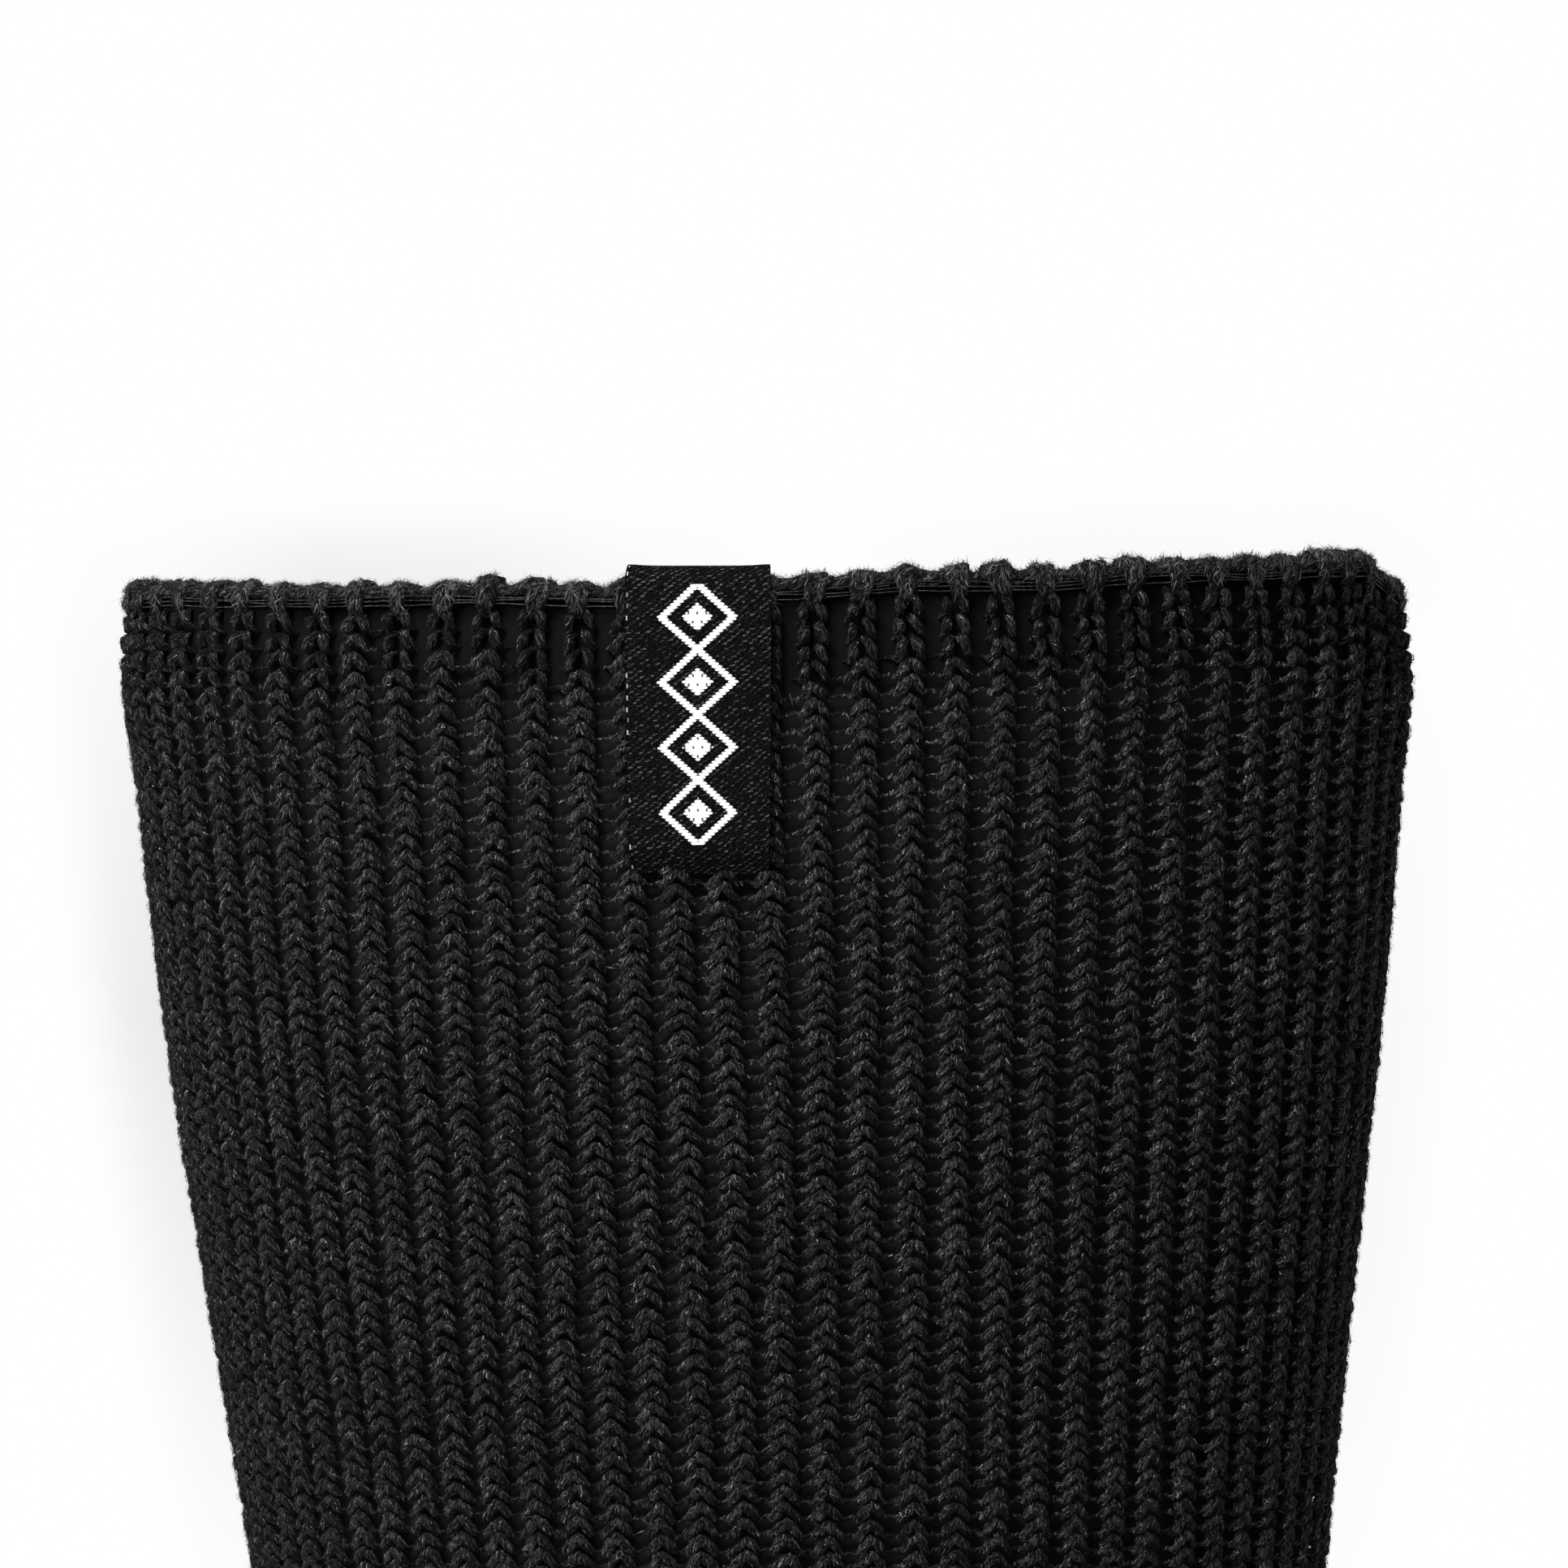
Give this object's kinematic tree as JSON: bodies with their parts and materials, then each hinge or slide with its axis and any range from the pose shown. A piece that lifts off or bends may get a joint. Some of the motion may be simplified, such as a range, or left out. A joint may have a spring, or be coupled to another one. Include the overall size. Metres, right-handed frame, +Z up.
{
  "type": "thermal sock",
  "caption": "Thick ribbed crew sock in its worn hollow form, with a turned cuff edge, heel pocket, plain sole and toe, and a folded woven tab on the cuff.",
  "frame": {"origin": "centre of the leg opening, at the mean height of its edge", "axes": "+Z up the leg and out of the opening, +X the way the toes point, -Y the outer side of the leg, where the label is"},
  "size_m": [0.2654, 0.0984, 0.2481],
  "materials": {
    "black_wool": "brushed, slightly hairy rib knit in black yarn",
    "black_satin": "woven twill tape with a low sheen"
  },
  "bodies": {
    "root": {"sock": "black_wool", "label": "black_satin"}
  },
  "joints": []
}
